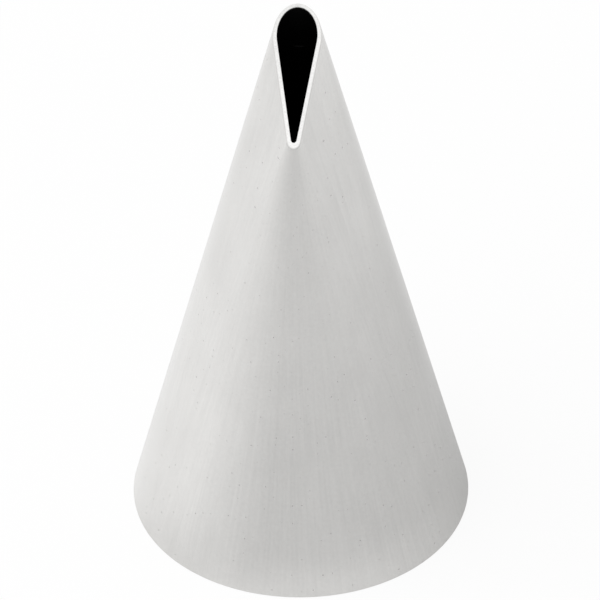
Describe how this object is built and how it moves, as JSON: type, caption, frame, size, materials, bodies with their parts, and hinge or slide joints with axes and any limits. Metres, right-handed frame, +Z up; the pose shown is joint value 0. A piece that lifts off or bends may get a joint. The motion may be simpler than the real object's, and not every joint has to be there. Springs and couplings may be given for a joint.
{
  "type": "piping nozzle",
  "caption": "Small sheet-metal petal piping nozzle: a cone on a round open foot that flattens to a slanted teardrop slot, with a filled seam down the back.",
  "frame": {"origin": "centre of the round foot, on the plane that the nozzle stands on", "axes": "+Z up from the foot to the mouth, +Y to the back, where the slot's wide end and the seam are, +X to the right when the slot is seen from the front"},
  "size_m": [0.018, 0.018, 0.0317],
  "materials": {
    "satin_steel": "satin",
    "seam_filler": "satin, dressed flush"
  },
  "bodies": {
    "root": {"rolled_cone": "satin_steel", "seam_braze": "seam_filler"}
  },
  "joints": []
}
